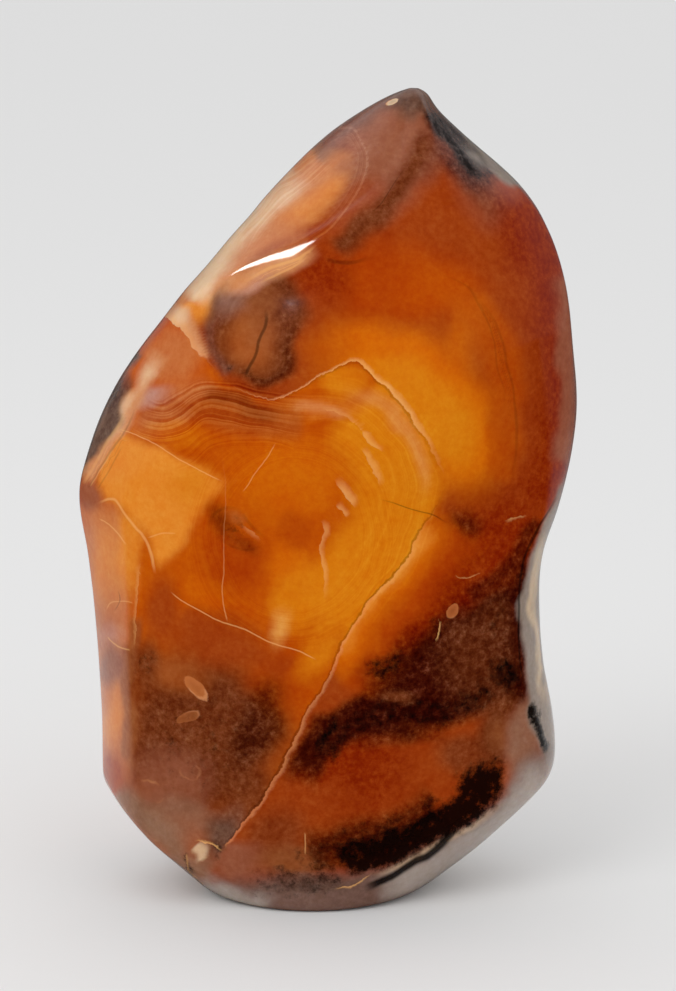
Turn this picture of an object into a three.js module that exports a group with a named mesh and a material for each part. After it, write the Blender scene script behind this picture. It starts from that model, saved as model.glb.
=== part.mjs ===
// A flame carved from one piece of carnelian, standing on the flat it was sawn off at. Millimetres, +Z up, and the
// broad front faces -Y. The stone is a stack of level sections. Each section is a ring of four bowed faces that meet
// at four ridges, and the ridges wind round the stone as they climb to the tip.
import * as THREE from 'three';
import { LoftGeometry } from 'three/addons/geometries/LoftGeometry.js';

// Driving dimensions
const HEIGHT = 117.6; // from the resting flat to the tip
const STEPS_PER_FACE = 16; // spans between one ridge and the next, in every section
const POLISH_PASSES = 3; // how far polishing has rounded the ridges
const SOFT_PASSES = 16; // the same, for the ridge that is only a soft shoulder
const SOFT_REACH = 9; // how many spans to each side of the soft ridge are rounded with it

// A ridge, from the resting flat up to the tip. Each row is a height, and the place across and back at that height.
// The brow runs up the left side, crosses the front as the bright crease, and turns up to the tip.
const BROW = [
  [0, -34, 0],
  [30, -33.2, -1],
  [50, -34.7, -2],
  [60, -35.7, -3],
  [66, -34.1, -3.6],
  [72, -31.3, -4.5],
  [84, -23.3, -7.6],
  [90, -17.9, -10.6],
  [95, -10.5, -14.1],
  [100, -0.1, -15.5],
  [106, 8.4, -12],
  [112, 11.2, -7.4],
  [HEIGHT, 11.4, -2.8],
];
// The soft shoulder between the left side and the front, which climbs below the brow.
const SHOULDER = [
  [0, -24, -11],
  [20, -26.4, -12.5],
  [38, -27.5, -13],
  [52, -26.7, -14],
  [60, -25.3, -15],
  [70, -18.4, -18.4],
  [80, -9, -20.3],
  [88, -1, -19.7],
  [95, 6, -17.3],
  [100, 10.5, -15.2],
  [106, 14, -11.4],
  [112, 15, -7.5],
  [HEIGHT, 12.9, -3.6],
];
// The right edge of the front, drawn in at the waist.
const EDGE = [
  [0, 31, -3],
  [20, 32.4, -5.5],
  [27, 30.8, -8],
  [34, 28.8, -10],
  [42, 28.2, -10.8],
  [50, 29.1, -9.5],
  [57, 32.1, -6.8],
  [66, 34, -6],
  [80, 35.1, -4.5],
  [90, 34.3, -2.5],
  [99, 31, -2.2],
  [103, 28, -3.6],
  [110, 19.2, -4.6],
  [115, 14.9, -3.6],
  [HEIGHT, 14, -2],
];
// The ridge that winds up the back.
const SPINE = [
  [0, 14, 15],
  [20, 17, 19.5],
  [45, 14, 21.5],
  [60, 9, 23],
  [75, 4, 22.5],
  [90, -2, 18],
  [102, -3.5, 11.5],
  [110, 1, 7],
  [115, 7.2, 3.2],
  [HEIGHT, 12, 0.6],
];

// How a face bows between two ridges, as the angles in degrees at which it leaves the first and meets the second,
// measured from the straight line between them. Each row starts with its height.
const LEFT_SIDE = [
  [0, 20, 16],
  [45, 12, 16],
  [60, 8, 18],
  [70, 8, 20],
  [80, 18, 20],
  [88, 26, 18],
  [95, 24, 14],
  [106, 14, 12],
  [HEIGHT, 10, 10],
];
const FRONT = [
  [0, 34, 38],
  [45, 32, 30],
  [60, 38, 34],
  [70, 38, 36],
  [84, 32, 38],
  [95, 22, 34],
  [106, 16, 30],
  [HEIGHT, 20, 20],
];
const RIGHT_SIDE = [
  [0, 56, 30],
  [30, 64, 30],
  [50, 62, 28],
  [70, 74, 28],
  [90, 62, 34],
  [100, 74, 40],
  [110, 90, 50],
  [HEIGHT, 80, 50],
];
const BACK = [
  [0, 34, 50],
  [30, 32, 52],
  [60, 34, 62],
  [75, 38, 68],
  [90, 46, 54],
  [104, 66, 74],
  [HEIGHT, 60, 66],
];

// The foot: below a height that differs from side to side, the stone is ground in towards the resting flat.
const FOOT_CENTRE = new THREE.Vector2(-2.1, 0);
const FOOT_RADIUS = 15.4; // of the resting flat, to its rounded rim
const FOOT_RIM = 1.3; // radius of that rim
const FOOT_BLEND = 1; // how softly the ground foot meets the faces above
// The grinding by direction, anticlockwise from the right in steps of an eighth of a turn: the height that it reaches,
// and its bow, which makes it swell outwards where it is under 1.
const FOOT = [
  [17, 0.68],
  [15, 0.7],
  [11, 0.8],
  [12, 0.9],
  [15.5, 0.9],
  [5, 0.8],
  [5.5, 0.7],
  [10.5, 0.62],
];

// The tip is blunt: over its last stretch each section shrinks towards its middle along a quarter of a round.
const TIP_ROUND = 1.4; // height of that stretch
const TIP_FLAT = 0.4; // what is left of the section at the very top, as a share of its width

// Heights of the sections: close together at the foot and the tip, and further apart between them.
const LEVELS = [
  ...[0, 0.35, 1.3, 3],
  ...evenly(5, 21, 10),
  ...evenly(21, 114, 37),
  ...[114, 115.4, 116.3, 116.9, 117.3, HEIGHT],
];

// Numbers at even steps from the first one given, up to the last one but without it.
function evenly(first, last, steps) {
  return Array.from({ length: steps }, (_, i) => THREE.MathUtils.lerp(first, last, i / steps));
}

// A smooth curve through rows of numbers, read by the first number of each row.
function along(rows) {
  const heights = rows.map((row) => row[0]);
  const values = rows.flatMap((row) => row.slice(1));
  const curve = new THREE.CubicInterpolant(heights, values, rows[0].length - 1);
  return (height) => [...curve.evaluate(height)];
}

const ridges = [BROW, SHOULDER, EDGE, SPINE].map(along);
const faces = [LEFT_SIDE, FRONT, RIGHT_SIDE, BACK].map(along);
const SOFT_RIDGE = 1; // the shoulder's place among the ridges

// The bowed line from one ridge to the next: a circular arc when it leaves and meets them at the same angle.
function bowedFace(start, end, leaving, meeting) {
  const chord = end.clone().sub(start);
  const handle = (angle) => chord.length() / (3 * Math.cos(angle / 2) ** 2);
  const outward = new THREE.Vector2(0, 0);
  const firstHandle = chord.clone().setLength(handle(leaving)).rotateAround(outward, -leaving);
  const lastHandle = chord.clone().setLength(-handle(meeting)).rotateAround(outward, meeting);
  return new THREE.CubicBezierCurve(start, start.clone().add(firstHandle), end.clone().add(lastHandle), end);
}

// Moves each point of the ring towards its neighbours' middle, as much as its share says.
function polish(ring, share) {
  return ring.map((point, i) => {
    const before = ring[(i + ring.length - 1) % ring.length];
    const after = ring[(i + 1) % ring.length];
    const middle = before.clone().add(after).multiplyScalar(0.5);
    return point.clone().lerp(middle, 0.5 * share(i));
  });
}

// One section of the body, before the foot is ground: its points, anticlockwise from the brow.
function bodySection(height) {
  const corners = ridges.map((ridge) => new THREE.Vector2(...ridge(height)));
  let ring = [];
  corners.forEach((corner, i) => {
    const [leaving, meeting] = faces[i](height).map(THREE.MathUtils.degToRad);
    const face = bowedFace(corner, corners[(i + 1) % corners.length], leaving, meeting);
    for (let step = 0; step < STEPS_PER_FACE; step += 1) {
      const share = (1 - Math.cos((Math.PI * step) / STEPS_PER_FACE)) / 2; // closer together near the ridges
      ring.push(face.getPoint(share));
    }
  });
  for (let pass = 0; pass < POLISH_PASSES; pass += 1) ring = polish(ring, () => 1);
  const softMiddle = SOFT_RIDGE * STEPS_PER_FACE;
  const softShare = (i) => Math.max(0, 1 - Math.abs(i - softMiddle) / SOFT_REACH);
  for (let pass = 0; pass < SOFT_PASSES; pass += 1) ring = polish(ring, softShare);
  return ring;
}

// The height and bow of the grinding in a direction given as an angle.
function footShape(angle) {
  const turn = THREE.MathUtils.euclideanModulo(angle / (2 * Math.PI), 1) * FOOT.length;
  const first = Math.floor(turn);
  const share = THREE.MathUtils.smoothstep(turn - first, 0, 1);
  const next = FOOT[(first + 1) % FOOT.length];
  return FOOT[first % FOOT.length].map((value, i) => THREE.MathUtils.lerp(value, next[i], share));
}

// The smaller of two lengths, with the change from one to the other rounded.
function softLeast(a, b, rounding) {
  const gap = a - b;
  return (a + b - Math.sqrt(gap * gap + rounding * rounding)) / 2;
}

// Draws a section's points in where the foot is ground, so that the resting flat keeps its round rim.
function groundSection(ring, height) {
  return ring.map((point) => {
    const arm = point.clone().sub(FOOT_CENTRE);
    const reach = arm.length();
    const [top, bow] = footShape(arm.angle());
    const rimRise = Math.max(0, 1 - height / FOOT_RIM);
    const rim = FOOT_RADIUS - FOOT_RIM * (1 - Math.sqrt(1 - rimRise * rimRise));
    const ground = rim + Math.max(0, reach - FOOT_RADIUS) * (height / top) ** bow;
    return arm.setLength(softLeast(reach, ground, FOOT_BLEND)).add(FOOT_CENTRE);
  });
}

// Draws a section's points towards its middle where the tip is rounded.
function bluntedSection(ring, height) {
  const middle = ring.reduce((sum, point) => sum.add(point), new THREE.Vector2()).divideScalar(ring.length);
  const rise = Math.max(0, 1 - (HEIGHT - height) / TIP_ROUND);
  const width = THREE.MathUtils.lerp(TIP_FLAT, 1, Math.sqrt(1 - rise * rise));
  return ring.map((point) => middle.clone().lerp(point, width));
}

function flameGeometry() {
  const sections = LEVELS.map((height) => {
    const section = bluntedSection(groundSection(bodySection(height), height), height);
    return section.map((point) => new THREE.Vector3(point.x, point.y, height));
  });
  return new LoftGeometry(sections, { capStart: true, capEnd: true });
}

const carnelian = new THREE.MeshStandardMaterial({ color: 0xb85a1e, roughness: 0.12, metalness: 0 });
const flame = new THREE.Mesh(flameGeometry(), carnelian);
flame.name = 'flame';

// The group's origin is on the resting flat, under the middle of the stone's width and depth.
const middle = new THREE.Box3().setFromObject(flame).getCenter(new THREE.Vector3());
flame.position.set(-middle.x, -middle.y, 0);

const carving = new THREE.Group();
carving.add(flame);

export default carving;
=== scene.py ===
"""A polished flame carved from banded carnelian, on a pale floor in soft studio light."""
import logging
import math
from dataclasses import dataclass, field
from enum import Enum
from typing import Sequence

import bpy
import numpy as np
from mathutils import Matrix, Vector


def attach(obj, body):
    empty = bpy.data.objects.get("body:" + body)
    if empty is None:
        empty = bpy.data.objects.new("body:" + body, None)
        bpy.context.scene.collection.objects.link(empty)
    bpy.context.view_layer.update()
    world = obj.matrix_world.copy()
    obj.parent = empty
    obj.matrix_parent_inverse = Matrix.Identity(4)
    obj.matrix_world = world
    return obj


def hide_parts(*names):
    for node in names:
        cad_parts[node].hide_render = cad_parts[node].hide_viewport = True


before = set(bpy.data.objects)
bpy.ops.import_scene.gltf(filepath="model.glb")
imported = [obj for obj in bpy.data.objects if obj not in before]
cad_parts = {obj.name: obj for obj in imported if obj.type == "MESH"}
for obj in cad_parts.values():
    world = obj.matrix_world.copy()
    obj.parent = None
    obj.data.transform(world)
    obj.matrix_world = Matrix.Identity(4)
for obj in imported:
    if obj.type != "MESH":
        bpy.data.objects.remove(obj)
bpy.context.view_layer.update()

MM = 0.001
STONE_MIDDLE = (0.0, 0.0, 0.07)  # where the lights aim

# Random values: how many cells the lattice has each way before it repeats, and where the stone lies in it
LATTICE_SIDE = 32
LATTICE_START = 100.0
LONG_WAVE_SEED, SHORT_WAVE_SEED = 3, 4
DRIFT_SEEDS = (11, 12)  # across and down
RIPPLE_SEEDS = (13, 14)

LOG = logging.getLogger("flame")

Pixel = tuple[float, float]
Socket = bpy.types.NodeSocket
Number = Socket | float | tuple[float, ...]


def smooth_step(values: np.ndarray, low: float, high: float) -> np.ndarray:
    """Eases from 0 to 1 between two limits.

    Args:
        values: What is eased.
        low: Where the result is 0.
        high: Where the result is 1. It may be less than low.

    Returns:
        The eased share of each value.
    """
    share = np.clip((values - low) / (high - low), 0.0, 1.0)
    return share * share * (3.0 - 2.0 * share)


def spline(nodes: np.ndarray, places: np.ndarray, closed: bool) -> np.ndarray:
    """Reads a smooth curve through nodes along the first axis.

    Args:
        nodes: The values that the curve passes through.
        places: Where the curve is read, counted in nodes.
        closed: Whether the last node is followed by the first.

    Returns:
        The curve's values, with one row for each place.
    """
    count = len(nodes)
    first = np.floor(places).astype(int)
    share = (places - first).reshape((-1,) + (1,) * (nodes.ndim - 1))

    def node(step: int) -> np.ndarray:
        """The nodes some steps along from each place."""
        index = first + step
        index = index % count if closed else np.clip(index, 0, count - 1)
        return nodes[index]

    before, start, end, after = node(-1), node(0), node(1), node(2)
    line = end - before
    bend = 2 * before - 5 * start + 4 * end - after
    twist = 3 * start - before - 3 * end + after
    return start + 0.5 * share * (line + share * (bend + share * twist))


def soft_noise(points: np.ndarray, size: float, seed: int) -> np.ndarray:
    """Smooth random values in space, the same for the same seed.

    Args:
        points: Places in space, in metres.
        size: Distance over which the values change, in metres.
        seed: Chooses the pattern.

    Returns:
        A value from -1 to 1 for each point.
    """
    lattice = np.random.default_rng(seed).uniform(-1.0, 1.0, (LATTICE_SIDE,) * 3)
    place = points / size + LATTICE_START
    cell = np.floor(place).astype(int)
    share = place - cell
    share = share * share * (3.0 - 2.0 * share)
    total = np.zeros(len(points))
    for corner in np.ndindex(2, 2, 2):
        weight = np.ones(len(points))
        for axis, step in enumerate(corner):
            weight *= share[:, axis] if step else 1.0 - share[:, axis]
        x, y, z = ((cell[:, axis] + step) % LATTICE_SIDE for axis, step in enumerate(corner))
        total += weight * lattice[x, y, z]
    return total


@dataclass(frozen=True)
class PhotoView:
    """The camera's place, and the way from the stone's surface to the picture and back."""

    width: int = 676
    height: int = 991
    pixel: float = 0.145 * MM  # what one pixel covers at the aim
    elevation: float = math.radians(12.0)
    distance: float = 0.5
    sensor: float = 36.0  # in millimetres
    aim: Vector = field(default_factory=lambda: Vector((1.41 * MM, -0.95 * MM, 58.5 * MM)))

    @property
    def back(self) -> Vector:
        """The direction from the aim to the camera."""
        return Vector((0.0, -math.cos(self.elevation), math.sin(self.elevation)))

    def pixels(self, points: np.ndarray) -> np.ndarray:
        """Finds where points appear in the picture.

        Args:
            points: Places in space, in metres.

        Returns:
            Pixels across and down, one row for each point.
        """
        back = np.array(self.back)
        across = np.array((1.0, 0.0, 0.0))
        up = np.cross(back, across)
        arm = points - (np.array(self.aim) + back * self.distance)
        scale = self.distance / -(arm @ back) / self.pixel
        return np.stack([self.width / 2 + arm @ across * scale, self.height / 2 - arm @ up * scale], axis=1)

    def camera(self) -> bpy.types.Object:
        """Makes the camera and gives it to the scene."""
        data = bpy.data.cameras.new("photo_camera")
        data.sensor_width = self.sensor
        data.lens = data.sensor_width * self.distance / (self.height * self.pixel)
        made = bpy.data.objects.new("photo_camera", data)
        made.location = self.aim + self.back * self.distance
        made.rotation_euler = (math.pi / 2 - self.elevation, 0.0, 0.0)
        bpy.context.scene.collection.objects.link(made)
        bpy.context.scene.camera = made
        return made


PHOTO = PhotoView()


class Trace:
    """A line of the stone's pattern, smooth through the pixels that it passes in the photograph."""

    STEPS = 6  # short straight pieces between one pixel and the next

    def __init__(self, *points: Pixel) -> None:
        """Smooths the line.

        Args:
            points: The pixels that the line passes through.
        """
        nodes = np.array(points, dtype=float)
        places = np.linspace(0, len(nodes) - 1, (len(nodes) - 1) * self.STEPS + 1)
        self.path = np.vstack([spline(nodes, places[:-1], closed=False), nodes[-1]])

    def measure(self, pixels: np.ndarray) -> tuple[np.ndarray, np.ndarray]:
        """Measures points against the line.

        Args:
            pixels: The points, in pixels.

        Returns:
            Each point's distance in pixels, positive on the line's right as it runs, and how far along the
            line its nearest point is, from 0 to 1.
        """
        near = np.full(len(pixels), np.inf)
        signed = np.zeros(len(pixels))
        run = np.zeros(len(pixels))
        count = len(self.path) - 1
        for index in range(count):
            start, step = self.path[index], self.path[index + 1] - self.path[index]
            arm = pixels - start
            share = np.clip(arm @ step / (step @ step), 0.0, 1.0)
            gap = arm - share[:, None] * step
            far = np.hypot(gap[:, 0], gap[:, 1])
            closer = far < near - 1e-9
            turn = step[0] * gap[:, 1] - step[1] * gap[:, 0]
            near = np.where(closer, far, near)
            signed = np.where(closer, np.where(turn < 0, -far, far), signed)
            run = np.where(closer, (index + share) / count, run)
        return signed, run


class Shade(Enum):
    """The stone's colours, as a screen shows them."""

    BLACK = (10, 4, 3)
    MAROON = (62, 14, 4)
    GARNET = (112, 22, 1)
    CHESTNUT = (136, 38, 3)
    RUST = (155, 60, 14)
    BURNT = (170, 62, 3)
    ORANGE = (188, 80, 3)
    GOLD = (208, 102, 4)
    HONEY = (214, 121, 12)
    AMBER = (226, 136, 42)
    TAN = (196, 116, 62)
    PEACH = (208, 140, 92)
    CORAL = (222, 132, 88)
    SHELL = (238, 178, 108)
    STRAW = (242, 188, 100)
    CREAM = (236, 204, 164)
    UMBER = (112, 52, 24)
    WALNUT = (142, 78, 40)
    TAWNY = (168, 86, 34)
    BARK = (98, 70, 56)
    MAUVE = (148, 86, 60)
    LILAC = (158, 116, 98)
    ROSE = (188, 132, 114)
    SMOKE = (70, 40, 33)
    ASH = (112, 90, 80)
    TAUPE = (142, 106, 84)
    GREY = (142, 126, 114)
    PEARL = (188, 176, 166)

    @property
    def linear(self) -> np.ndarray:
        """The colour in linear light."""
        part = np.array(self.value) / 255
        return np.where(part <= 0.04045, part / 12.92, ((part + 0.055) / 1.055) ** 2.4)

    @property
    def paint(self) -> tuple[float, float, float, float]:
        """The shade as an opaque linear colour."""
        return (*self.linear, 1.0)


@dataclass(frozen=True)
class Cloud:
    """A soft oval patch of one shade."""

    name: str
    shade: Shade
    middle: Pixel
    reach: Pixel  # half its width and half its height, in pixels
    turn: float = 0.0  # degrees, clockwise in the picture
    strength: float = 1.0
    core: float = 0.3  # the share of its reach inside which it has its full strength

    def radius(self, pixels: np.ndarray) -> np.ndarray:
        """How far out each point lies, as a share of the patch's reach."""
        angle = math.radians(self.turn)
        arm = pixels - np.array(self.middle)
        along = (arm[:, 0] * math.cos(angle) + arm[:, 1] * math.sin(angle)) / self.reach[0]
        aside = (arm[:, 1] * math.cos(angle) - arm[:, 0] * math.sin(angle)) / self.reach[1]
        return np.hypot(along, aside)

    def cover(self, pixels: np.ndarray) -> np.ndarray:
        """How much the patch covers each point, from 0 to 1."""
        return self.strength * smooth_step(self.radius(pixels), 1.0, self.core)


@dataclass(frozen=True)
class Ribbon:
    """A soft band of one shade along a line."""

    name: str
    shade: Shade
    trace: Trace
    reach: float  # how far it spreads to each side, in pixels
    strength: float = 1.0
    core: float = 0.3  # the share of its reach inside which it has its full strength
    ends: float = 0.1  # the share of its length over which each end comes and goes

    def cover(self, pixels: np.ndarray) -> np.ndarray:
        """How much the band covers each point, from 0 to 1."""
        gap, run = self.trace.measure(pixels)
        ends = smooth_step(run, 0.0, self.ends) * smooth_step(run, 1.0, 1.0 - self.ends)
        return self.strength * ends * smooth_step(np.abs(gap), self.reach, self.core * self.reach)


@dataclass(frozen=True)
class Plate:
    """A patch of one shade inside an outline, which runs clockwise in the picture and closes."""

    name: str
    shade: Shade
    outline: Trace
    soft: float  # over how many pixels its edge fades to each side
    strength: float = 1.0

    def cover(self, pixels: np.ndarray) -> np.ndarray:
        """How much the patch covers each point, from 0 to 1."""
        return self.strength * smooth_step(self.outline.measure(pixels)[0], -self.soft, self.soft)


def lay(pixels: np.ndarray, ground: Shade, patches: Sequence[Cloud | Ribbon | Plate]) -> np.ndarray:
    """Lays patches over an even ground, one after another.

    Args:
        pixels: Where the stone is coloured.
        ground: The ground's shade.
        patches: The patches, the lowest first.

    Returns:
        A linear colour for each point.
    """
    laid = np.tile(ground.linear, (len(pixels), 1))
    for patch in patches:
        cover = patch.cover(pixels)
        laid += cover[:, None] * (patch.shade.linear - laid)
        LOG.debug("%s covers a share of %.3f", patch.name, cover.mean())
    return laid


# The shades, for the tables below
(BLACK, MAROON, GARNET, CHESTNUT, RUST, BURNT, ORANGE, GOLD, HONEY, AMBER, TAN, PEACH, CORAL, SHELL, STRAW,
    CREAM, UMBER, WALNUT, TAWNY, BARK, MAUVE, LILAC, ROSE, SMOKE, ASH, TAUPE, GREY, PEARL) = Shade

# The stone left of and below the great seam
INNER_GROUND = ORANGE
INNER_PATCHES = (
    Cloud("low brown", UMBER, (200, 735), (120, 130), 0, 1.0, 0.4),
    Cloud("rust over brown", RUST, (215, 636), (80, 40), 15, 0.8),
    Cloud("warm middle", BURNT, (285, 680), (50, 46), 28, 0.8),
    Cloud("honey beside seam", HONEY, (322, 648), (26, 50), 28, 0.7),
    Cloud("dark beside seam", MAROON, (258, 722), (32, 66), 30, 0.75),
    Cloud("brown beside seam", UMBER, (246, 800), (36, 40), 20, 0.8),
    Cloud("tawny top", TAWNY, (176, 674), (46, 28), 0, 0.65, 0.1),
    Cloud("foot left", MAUVE, (172, 780), (54, 44), 20, 0.7),
    Cloud("foot taupe", TAUPE, (176, 820), (60, 34), 20, 0.6),
    # Painted reflection: a grey-brown haze over the lower left, where the bevel shows the floor.
    Ribbon("lower left reflection", TAUPE, Trace((112, 790), (140, 818), (185, 864), (235, 898)), 30, 0.9, 0.1),
    Cloud("foot hollow", BARK, (222, 842), (34, 40), 0, 0.9),
    # Painted highlight: the cream spot where the dent in the foot catches the light.
    Ribbon("hollow highlight", CREAM, Trace((196, 849), (203, 856), (203, 866)), 6, 0.7, 0.2, 0.2),
    Ribbon("flank", TAN, Trace((96, 500), (106, 600), (110, 690), (112, 790)), 32, 0.8, 0.5),
    Cloud("flank tawny", TAWNY, (104, 622), (26, 54), 0, 0.5),
    Cloud("flank glow", AMBER, (104, 566), (24, 62), 0, 0.6, 0.1),
    Cloud("flank pink", ROSE, (112, 634), (22, 22), 0, 0.6, 0.0),
    Cloud("flank honey", AMBER, (127, 550), (18, 56), 0, 0.8),
    Cloud("flank smoke", MAUVE, (115, 664), (26, 30)),
    Cloud("flank amber", AMBER, (113, 716), (20, 44), 6, 0.6, 0.1),
    Ribbon("flank line", WALNUT, Trace((136, 610), (132, 700), (132, 760)), 9, 0.7),
    Cloud("flank foot", RUST, (112, 772), (28, 30), 0, 0.9),
    Cloud("flank head", MAUVE, (90, 500), (22, 26), 0, 0.8),
    Plate("kite", AMBER, Trace((165, 452), (195, 467), (224, 482), (214, 500), (188, 532), (158, 566),
        (142, 536), (120, 508), (106, 500), (104, 480), (112, 450), (123, 432), (140, 440), (165, 452)), 8,
        0.95),
    Cloud("kite heart", HONEY, (192, 490), (40, 34), -35, 0.6, 0.1),
    Ribbon("below long fall", RUST, Trace((180, 612), (228, 642), (296, 672)), 20, 0.6, 0.2),
    Cloud("left rust", RUST, (160, 606), (26, 46), 0, 0.9),
    Cloud("left dark", UMBER, (148, 664), (20, 42), 0, 0.8, 0.2),
    Cloud("honey low", GOLD, (205, 590), (34, 24), 20, 0.5),
    Cloud("heart", GOLD, (290, 475), (90, 60), 0, 0.7),
    Cloud("heart low", GOLD, (288, 562), (34, 26), 0, 0.8),
    Cloud("heart disc", BURNT, (296, 530), (26, 24), 0, 0.6, 0.5),
    Cloud("knot tail", BURNT, (232, 558), (48, 46), 20, 1.0),
    Cloud("knot", MAROON, (219, 524), (17, 26), -15, 0.5, 0.1),
    Cloud("knot low", MAROON, (241, 544), (24, 13), 30, 0.45, 0.1),
    Cloud("knot light", TAWNY, (234, 519), (12, 9), 10, 0.6, 0.2),
    Cloud("honey step", HONEY, (302, 596), (36, 52), 12, 0.9, 0.4),
    Cloud("pale step", STRAW, (282, 626), (15, 30), 12, 0.5, 0.0),
    Ribbon("honey arc", HONEY, Trace((350, 400), (390, 450), (392, 520), (366, 570), (325, 640)), 58, 1.0,
        0.5),
    Ribbon("waist", TAWNY, Trace((140, 418), (200, 406), (250, 413), (310, 420)), 28, 0.6, 0.2),
    Ribbon("waist dark", UMBER, Trace((200, 397), (236, 403), (290, 414)), 12, 0.4, 0.2, 0.3),
    Cloud("waist left", TAN, (162, 420), (36, 24), 0, 0.6),
    Cloud("above kite", HONEY, (172, 434), (60, 20), 10, 0.5, 0.1),
    Cloud("peak honey", HONEY, (344, 384), (34, 22), 10, 0.8),
    Cloud("waist right", AMBER, (322, 408), (54, 14), 2, 0.4),
    Ribbon("waist glow", PEACH, Trace((290, 409), (322, 408), (350, 416)), 8, 0.4, 0.1, 0.3),
    Ribbon("inner glow", PEACH, Trace((340, 396), (376, 400), (402, 424), (418, 460), (420, 500)), 11, 0.28,
        0.1, 0.3),
    Cloud("orange under brow", TAN, (176, 356), (44, 40), 35, 0.7),
    Cloud("lilac patch", ROSE, (153, 393), (34, 14), 0, 1.0, 0.1),
    Cloud("lilac tail", TAN, (192, 394), (36, 14), 0, 0.6),
    Ribbon("cream patch", PEACH, Trace((160, 346), (150, 364), (143, 382), (134, 402)), 16, 0.9, 0.1, 0.2),
    Cloud("cream heart", CREAM, (147, 371), (16, 22), 20, 0.5, 0.0),
    Ribbon("left stripe", PEACH, Trace((136, 380), (131, 398), (123, 418), (112, 440), (98, 462),
        (84, 486)), 14, 0.9, 0.5, 0.1),
    Ribbon("stripe light", CREAM, Trace((134, 384), (128, 403), (120, 424), (108, 446)), 8, 0.4, 0.1, 0.2),
    Plate("left facet", BARK, Trace((140, 350), (129, 362), (124, 378), (126, 395), (127, 411), (119, 431),
        (107, 448), (93, 468), (76, 488), (40, 466), (56, 400), (100, 345), (124, 336), (140, 350)), 4),
    Ribbon("facet light", TAUPE, Trace((108, 396), (98, 425), (84, 462)), 10, 0.4, 0.1, 0.2),
    Ribbon("facet shadow", SMOKE, Trace((130, 366), (122, 390), (112, 412)), 7, 0.6, 0.1, 0.3),
)

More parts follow.
